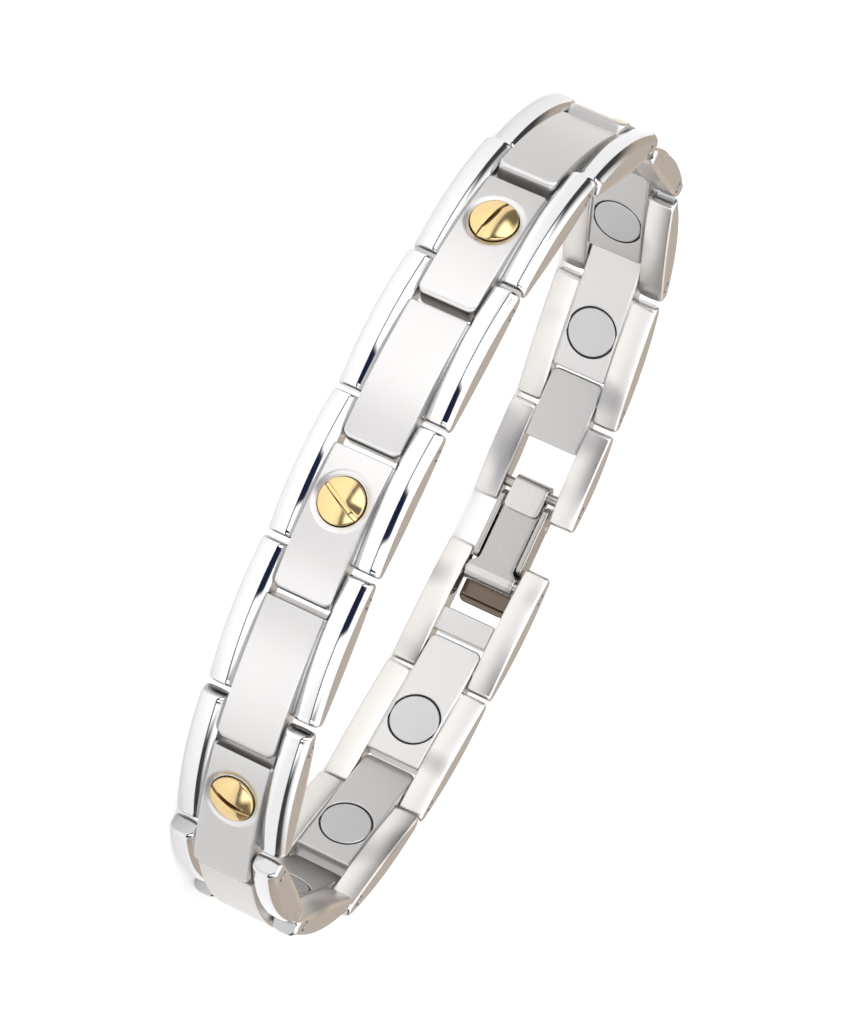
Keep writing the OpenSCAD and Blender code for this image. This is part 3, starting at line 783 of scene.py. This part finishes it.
def cover_plate_rings():
    """The side outline of the plate, with its lip, carried across the cover. Its free end is drawn
    in at the sides by round corners."""
    half, mid = (COVER_X1 - COVER_X0) / 2, (COVER_X0 + COVER_X1) / 2
    radius = arc_radius(half, COVER_RISE)
    levels = np.array([0, 0.02, 0.07, 0.14, 0.22, 0.32, 0.45, 0.6, 0.8, 1.2, 1.9, COVER_W / 2])
    levels = np.concatenate([levels, COVER_W - levels[-2::-1]])
    share = (1 - np.cos(np.linspace(0, np.pi, 60))) / 2
    rings = []
    for level in levels:
        d = min(level, COVER_W - level)
        a0 = COVER_X0 + inset(d, COVER_ROUND)
        a1 = COVER_X1 - inset(d, 0.06)
        x = a0 + (a1 - a0) * share
        near = np.minimum(x - a0, a1 - x)
        top = arc_height(x, mid, COVER_OUT + COVER_RISE, radius)
        top = top - inset(d, COVER_EDGE) - inset(near, 0.12)
        low = COVER_IN - LIP_DOWN * smooth((COVER_X0 + LIP_LONG - x) / LIP_EASE) + inset(near, 0.08)
        ring = np.vstack([np.stack([x, top], axis=-1), np.stack([x[::-1], low[::-1]], axis=-1)])
        rings.append(np.column_stack([ring, np.full(len(ring), level - COVER_W / 2)]))
    return closed_ends(np.array(rings))


def ear_angle(height):
    """The ear's angle from the vertical at that height above or below the pivot."""
    return np.degrees(np.arccos(height / EAR_R))


ear, drop_ear = ear_angle(COVER_OUT - PIVOT_Y), ear_angle(PIVOT_Y - FLANGE_FOOT)
ear_x, drop_x = PIVOT_X + EAR_R * np.sin(np.radians([ear, drop_ear]))
foot_x, round_y = FLANGE_X0 + FLANGE_ROUND, FLANGE_FOOT + FLANGE_ROUND
flange = np.vstack([
    np.linspace([FLANGE_X0, round_y], [FLANGE_X0, FLANGE_TOP], 12)[1:],
    np.linspace([FLANGE_X0, FLANGE_TOP], [SHOULDER_X[0], FLANGE_TOP], 40)[1:],
    np.linspace([SHOULDER_X[0], FLANGE_TOP], [SHOULDER_X[1], COVER_OUT - 0.02], 5)[1:-1],
    np.linspace([SHOULDER_X[2], COVER_OUT], [ear_x, COVER_OUT], 14),
    corner((PIVOT_X, PIVOT_Y), EAR_R, 90 - ear, drop_ear - 90, 40)[1:],
    np.linspace([drop_x, FLANGE_FOOT], [foot_x, FLANGE_FOOT], 50)[1:],
    corner((foot_x, round_y), FLANGE_ROUND, -90, -180, 14)[1:],
])
plate_parts = [(cover_plate_rings(), "pole", "pole")]
cover_parts = [piece("cover_plate", plate_parts, 0, body="cover", replaces=["clasp_cover"])]
for side, word in ((1, "lower"), (-1, "upper")):
    low, high = sorted((side * (COVER_W / 2 - FLANGE_T), side * COVER_W / 2))
    rings = blank_rings(flange, low, high, FLANGE_EDGE, hole=(PIVOT_X, PIVOT_Y, PIVOT_HOLE))
    parts = [(rings, "joined", "joined")]
    cover_parts.append(piece(f"cover_flange_{word}", parts, 0, body="cover"))
pivot_rings = rod_rings(PIVOT_X, PIVOT_Y, PIVOT_R, PIVOT_HALF, PIVOT_DOME)
pivot = piece("pivot_pin", [(pivot_rings, "pole", "pole")], 0, replaces=["cover_pivot"])
print("clasp pieces:", 2 + len(cover_parts))

# %% [markdown]
# ## Finishes
# Polished steel is a mirror with faint wiping marks. Brushed steel has fine lines along the chain:
# noise stretched in the link's own frame, kept with each vertex as the attribute "grain". The gold
# and the magnets' plating have their own slight unevenness. Soft dark patches on the inner faces
# are painted reflection, and the dark brown walls in the screws' slots are painted shade, as are
# the darker end walls, the cover's inside and the clasp's strip.

# %% Small steps in a node tree
def grey(level):
    """A grey of that level, with full opacity."""
    return (level, level, level, 1)


def toned(colour, share):
    """A colour times a share, no channel above 1."""
    return (*[min(channel * share, 1) for channel in colour], 1)


def feed(tree, socket, value):
    """Gives an input a fixed value, or links it to another node's output."""
    if isinstance(value, bpy.types.NodeSocket):
        tree.links.new(value, socket)
    else:
        socket.default_value = value


def graded(tree, value, low, high, out_low=0.0, out_high=1.0):
    """A value carried smoothly from one range to another, clamped at both ends."""
    node = tree.nodes.new("ShaderNodeMapRange")
    node.interpolation_type = "SMOOTHSTEP"
    feed(tree, node.inputs["Value"], value)
    ranges = {"From Min": low, "From Max": high, "To Min": out_low, "To Max": out_high}
    for name, amount in ranges.items():
        feed(tree, node.inputs[name], amount)
    return node.outputs["Result"]


def combine(tree, operation, a, b=0.0):
    """One sum of two values, each a socket or a number."""
    node = tree.nodes.new("ShaderNodeMath")
    node.operation = operation
    feed(tree, node.inputs[0], a)
    feed(tree, node.inputs[1], b)
    return node.outputs["Value"]


def mixed(tree, factor, a, b):
    """A colour between a and b, each a socket or four numbers."""
    node = tree.nodes.new("ShaderNodeMix")
    node.data_type = "RGBA"
    for name, value in (("Factor", factor), ("A", a), ("B", b)):
        feed(tree, node.inputs[name], value)
    return node.outputs["Result"]


def axes_of(tree, vector):
    """The outputs X, Y and Z of a place or a direction."""
    node = tree.nodes.new("ShaderNodeSeparateXYZ")
    feed(tree, node.inputs["Vector"], vector)
    return node.outputs


def kept(tree, name):
    """The outputs that read an attribute kept with the vertices."""
    node = tree.nodes.new("ShaderNodeAttribute")
    node.attribute_name = name
    return node.outputs


def noise_at(tree, place, scale, detail):
    """Noise from 0 to 1 at a place."""
    node = tree.nodes.new("ShaderNodeTexNoise")
    for name, value in (("Vector", place), ("Scale", scale), ("Detail", detail)):
        feed(tree, node.inputs[name], value)
    return node.outputs["Fac"]


# %% Finish helper
WARM, DARK_REFLECTION, DARK_REFLECTION_SHARE = (0.78, 0.755, 0.73, 1), (0.27, 0.27, 0.29, 1), 0.75
PATCH_SCALE, PATCHES = 110.0, (0.54, 0.70)
INSIDE, BESIDE, END_WALL = (0.3, 0.55), (5.44, 5.495), (0.984, 0.996)  # where each face begins
BUMP_HEIGHT = 0.00001


def finish(
    name, colour, rough, grain=(1, 1, 1), spread=0.0, bump=0.0, tint=0.0, metal=1.0, brushed_by=0.0,
    satin=None, within=None, deep=(0.16, 0.125, 0.10), ends=None, slot_shade_colour=None,
):
    """A metal whose roughness, height and tone follow noise in the link's own frame, stretched by
    grain. With brushed_by, fine lines along the chain spread reflections across the band. With
    satin, the inner and the side faces have that roughness, and the inner ones are a little
    warmer, with soft dark patches of painted reflection. With within, faces below that height
    have the colour deep: painted shade inside the cover, and on the clasp the tab's plain tone
    beside the strip's painted shade. With ends, the end walls have that share of the tone:
    painted shade between neighbouring pieces, on walls left unpolished. A colour for the slots
    paints the marked walls of a slot: painted shade in the slot."""
    made = bpy.data.materials.new(name)
    made.use_nodes = True
    tree = made.node_tree
    shader = tree.nodes["Principled BSDF"]
    shader.inputs["Metallic"].default_value = metal
    if brushed_by:
        across = tree.nodes.new("ShaderNodeCombineXYZ")
        across.inputs["Z"].default_value = 1.0
        feed(tree, shader.inputs["Tangent"], across.outputs["Vector"])
        shader.inputs["Anisotropic"].default_value = brushed_by
    place = kept(tree, "grain")["Vector"]
    stretch = tree.nodes.new("ShaderNodeVectorMath")
    stretch.operation = "MULTIPLY"
    feed(tree, stretch.inputs[0], place)
    feed(tree, stretch.inputs[1], grain)
    noise = noise_at(tree, stretch.outputs["Vector"], 1.0, 3.0)
    level = graded(tree, noise, 0.3, 0.7, rough - spread, rough + spread)
    surface = mixed(tree, noise, toned(colour, 1 - tint), toned(colour, 1 + tint))
    if satin:
        axes = axes_of(tree, place)
        inside = graded(tree, combine(tree, "MULTIPLY", axes["Y"], -1.0), *INSIDE)
        beside = graded(tree, combine(tree, "ABSOLUTE", axes["Z"]), *BESIDE)
        matt = combine(tree, "MAXIMUM", inside, beside)
        level = combine(tree, "ADD", level, combine(tree, "MULTIPLY", matt, satin - rough))
        where = tree.nodes.new("ShaderNodeTexCoord").outputs["Object"]
        # painted reflection: soft dark blue-grey patches on the inner faces
        patches = graded(tree, noise_at(tree, where, PATCH_SCALE, 1.0), *PATCHES)
        reflection_inside = combine(tree, "MULTIPLY", patches, inside)
        surface = mixed(tree, inside, surface, WARM)
        surface = mixed(tree, combine(tree, "MULTIPLY", reflection_inside, DARK_REFLECTION_SHARE), surface, DARK_REFLECTION)
    # faces below a height get their own colour: painted shade inside the cover, and on the clasp the
    # tab's plain tone
    if within:
        above = graded(tree, axes_of(tree, place)["Y"], within, within + 0.06)
        surface = mixed(tree, above, (*deep, 1), surface)
    # painted shade: the end walls are darker, as where neighbouring pieces shade them, on walls left
    # unpolished
    if ends:
        wall = graded(tree, kept(tree, "reach")["Fac"], *END_WALL)
        surface = mixed(tree, wall, surface, toned(colour, ends))
    # painted shade: the slot's walls darkened
    if slot_shade_colour:
        surface = mixed(tree, kept(tree, "painted_slot_shade")["Fac"], surface, (*slot_shade_colour, 1))
    feed(tree, shader.inputs["Roughness"], level)
    feed(tree, shader.inputs["Base Color"], surface)
    if bump:
        raised = tree.nodes.new("ShaderNodeBump")
        for label, value in (("Strength", bump), ("Distance", BUMP_HEIGHT), ("Height", noise)):
            feed(tree, raised.inputs[label], value)
        feed(tree, shader.inputs["Normal"], raised.outputs["Normal"])
    return made


# %% The eight finishes
polished = finish(
    "polished_steel", (0.66, 0.66, 0.665), 0.075, grain=(0.6, 6, 6), spread=0.01, tint=0.01,
    satin=0.30, ends=0.7, brushed_by=0.85,
)
brushed = finish(
    "brushed_steel", (0.65, 0.64, 0.63), 0.38, grain=(0.25, 9, 9), spread=0.03, bump=0.3, tint=0.04,
    ends=0.7, brushed_by=0.9,
)
# the darker tone of this steel is painted shade of the channel round the strip; the tab, below
# -1.06, keeps the plain steel tone
shaded_sheet = finish(
    "clasp_steel", (0.47, 0.455, 0.44), 0.26, grain=(0.6, 9, 9), spread=0.02, tint=0.07,
    within=-1.06, deep=(0.62, 0.605, 0.59),
)
# the cover's inside, below 1.42, is dark brown: painted shade
cover_shaded_inside = finish(
    "cover_steel", (0.52, 0.51, 0.50), 0.24, grain=(2, 12, 12), spread=0.03, tint=0.02, within=1.42,
)
rod = finish("pin_steel", (0.48, 0.46, 0.44), 0.30, grain=(4, 4, 1), spread=0.04, tint=0.05)
# a dark brown on the slots' walls is painted shade
gold = finish(
    "gold_plate", (0.68, 0.51, 0.25), 0.14, grain=(2, 2, 2), spread=0.02, tint=0.03,
    metal=0.85, slot_shade_colour=(0.16, 0.09, 0.03),
)
plated = finish(
    "magnet_plate", (0.55, 0.55, 0.555), 0.36, grain=(2, 2, 2), spread=0.03, bump=0.05, tint=0.03,
    brushed_by=0.8,
)
# near black, for the rings in the gaps: painted shade
dark = finish("painted_gap_shade", (0.05, 0.045, 0.045), 0.6, grain=(3, 3, 3), spread=0.1, tint=0.2)

# %% Dress the pieces
dressed = 0
for things, material, slot in (
    (bar_pieces, polished, "link_steel"), (plates + seams, brushed, "link_steel"),
    (pin_pieces + [pivot], rod, "pin_steel"), (screw_pieces, gold, "gold_screw"),
    (magnet_pieces, plated, "magnet"), (shade_ring_pieces, dark, "magnet"),
    ([leaf] + cover_parts[1:], shaded_sheet, "clasp_steel"), (cover_parts[:1], cover_shaded_inside, "clasp_steel"),
):
    for thing in things:
        thing.data.materials.append(material)
    dressed += len(things)
print("pieces dressed:", dressed)

# %% [markdown]
# ## Floor, light and camera
# The bracelet lies on its side on a pale table, which glows more strongly on the camera's side, so
# that the near bars mirror it brightly. Bright steel shows what stands round it, so the room
# matters more than the lamp. On the camera's side it has a bright screen over a dark blue band,
# which draws the thin dark lines along the bevels, and a tall dark figure in front of both. The
# walls to the left and right are dark, the wall behind is a warm grey, and the ceiling is white.

# %% Floor
GLOW, POOL = 0.35, 0.45
bpy.ops.mesh.primitive_plane_add(size=6)
floor = bpy.context.object
floor.name = "floor"
pale = bpy.data.materials.new("pale_floor")
pale.use_nodes = True
tree = pale.node_tree
shader = tree.nodes["Principled BSDF"]
spot = axes_of(tree, tree.nodes.new("ShaderNodeTexCoord").outputs["Object"])
wide = graded(tree, combine(tree, "ABSOLUTE", spot["X"]), 0.02, 0.06, 1.0, 0.0)
near = graded(tree, combine(tree, "MULTIPLY", spot["Y"], -1.0), 0.0, 0.04)
pool = combine(tree, "MULTIPLY", combine(tree, "MULTIPLY", wide, near), POOL)
for name, value in (
    ("Base Color", grey(0.66)), ("Roughness", 0.9), ("Emission Color", grey(1)),
    ("Emission Strength", combine(tree, "ADD", pool, GLOW)),
):
    feed(tree, shader.inputs[name], value)
floor.data.materials.append(pale)
print("floor glow:", GLOW, "and in front of the bracelet", round(GLOW + POOL, 2))

# %% Room
CEILING, SCREEN = 1.6, 2.8
INK = (0.02, 0.025, 0.10, 1)
FIGURE_AT, FIGURE_IN, FIGURE_OUT = 0.13, 0.19, 0.32  # its bearing and its soft edge
scene = bpy.context.scene
world = bpy.data.worlds.new("room")
scene.world = world
world.use_nodes = True
tree = world.node_tree
split = axes_of(tree, tree.nodes.new("ShaderNodeTexCoord").outputs["Generated"])
height = combine(tree, "MULTIPLY", combine(tree, "ADD", split["Z"], 1.0), 0.5)


def ramp(stops):
    """A colour ramp over a direction's height, from -1 straight down to 1 straight up."""
    node = tree.nodes.new("ShaderNodeValToRGB")
    marks = node.color_ramp.elements
    for mark, (at, colour) in zip(marks, (stops[0], stops[-1])):
        mark.position, mark.color = (at + 1) / 2, colour
    for at, colour in stops[1:-1]:
        marks.new((at + 1) / 2).color = colour
    feed(tree, node.inputs["Fac"], height)
    return node.outputs["Color"]


print("the figure's middle is at", round(float(np.degrees(np.arctan(FIGURE_AT))), 1), "degrees")

# %% Paint the room
front = ramp([
    (-1, grey(1)), (-0.01, grey(1)), (0.01, (0.30, 0.34, 0.50, 1)), (0.04, INK), (0.11, INK),
    (0.17, (0.9, 0.95, 1.1, 1)), (0.28, grey(SCREEN)), (0.6, grey(SCREEN)),
    (0.8, grey(CEILING)), (1, grey(CEILING)),
])
figure = ramp([
    (-1, grey(1)), (-0.03, grey(0.6)), (0, (0.012, 0.018, 0.06, 1)), (0.78, (0.02, 0.025, 0.07, 1)),
    (0.87, grey(CEILING)), (1, grey(CEILING)),
])
overhead = [(0.75, grey(CEILING)), (1, grey(CEILING))]
sides = ramp([(-1, grey(1)), (0, grey(0.06)), (0.45, grey(0.08)), *overhead])
back = ramp([(-1, grey(1)), (0, (0.60, 0.51, 0.43, 1)), (0.45, (0.66, 0.57, 0.49, 1)), *overhead])
toward = combine(tree, "MULTIPLY", split["Y"], -1.0)
bearing = combine(tree, "DIVIDE", split["X"], combine(tree, "MAXIMUM", toward, 0.05))
beside = combine(tree, "ABSOLUTE", combine(tree, "SUBTRACT", bearing, FIGURE_AT))
narrow = graded(tree, beside, FIGURE_IN, FIGURE_OUT, 1.0, 0.0)
room = mixed(tree, graded(tree, split["Y"], 0.2, 0.6), sides, back)
room = mixed(tree, graded(tree, toward, 0.35, 0.7), room, front)
room = mixed(tree, combine(tree, "MULTIPLY", narrow, graded(tree, toward, 0.1, 0.2)), room, figure)
background = tree.nodes["Background"]
feed(tree, background.inputs["Color"], room)
background.inputs["Strength"].default_value = 1.0
scene.view_settings.view_transform = "Standard"
print("room: ceiling", CEILING, "and screen", SCREEN)

# %% Soft light
lamp = bpy.data.lights.new("overhead", "AREA")
lamp.energy, lamp.size = 0.6, 0.5
softbox = bpy.data.objects.new("overhead", lamp)
softbox.location = (-0.1, -0.15, 0.6)
aim = Vector((0, 0, 0.005)) - softbox.location
softbox.rotation_euler = aim.to_track_quat("-Z", "Y").to_euler()
scene.collection.objects.link(softbox)
print("lamp distance in m:", round(aim.length, 2))

# %% Camera
FOCAL, PICTURE = 3786.26, 1024  # in pixels
EYE_FLAT, EYE_UP = (24.890, -361.987), 104.92  # from the clasp pin, and above the floor
RIGHT = Vector((-0.43362199, 0.22751823, 0.87189875))
UP = -Vector((0.89802698, 0.18888938, 0.39732649))
BACKWARD = -Vector((-0.0742934, 0.9552781, -0.2862241))
lens = bpy.data.cameras.new("camera")
camera = bpy.data.objects.new("camera", lens)
scene.collection.objects.link(camera)
lens.sensor_width = 36
lens.lens = FOCAL * lens.sensor_width / PICTURE
lens.clip_start = 0.01
eye = np.array([*(pins[0] + EYE_FLAT), EYE_UP]) * MM
turned_axes = [[RIGHT[k], UP[k], BACKWARD[k], eye[k]] for k in range(3)]
camera.matrix_world = Matrix(turned_axes + [[0, 0, 0, 1]])
scene.camera = camera
print("camera at, in m:", np.round(eye, 3).tolist(), "lens in mm:", round(lens.lens, 1))
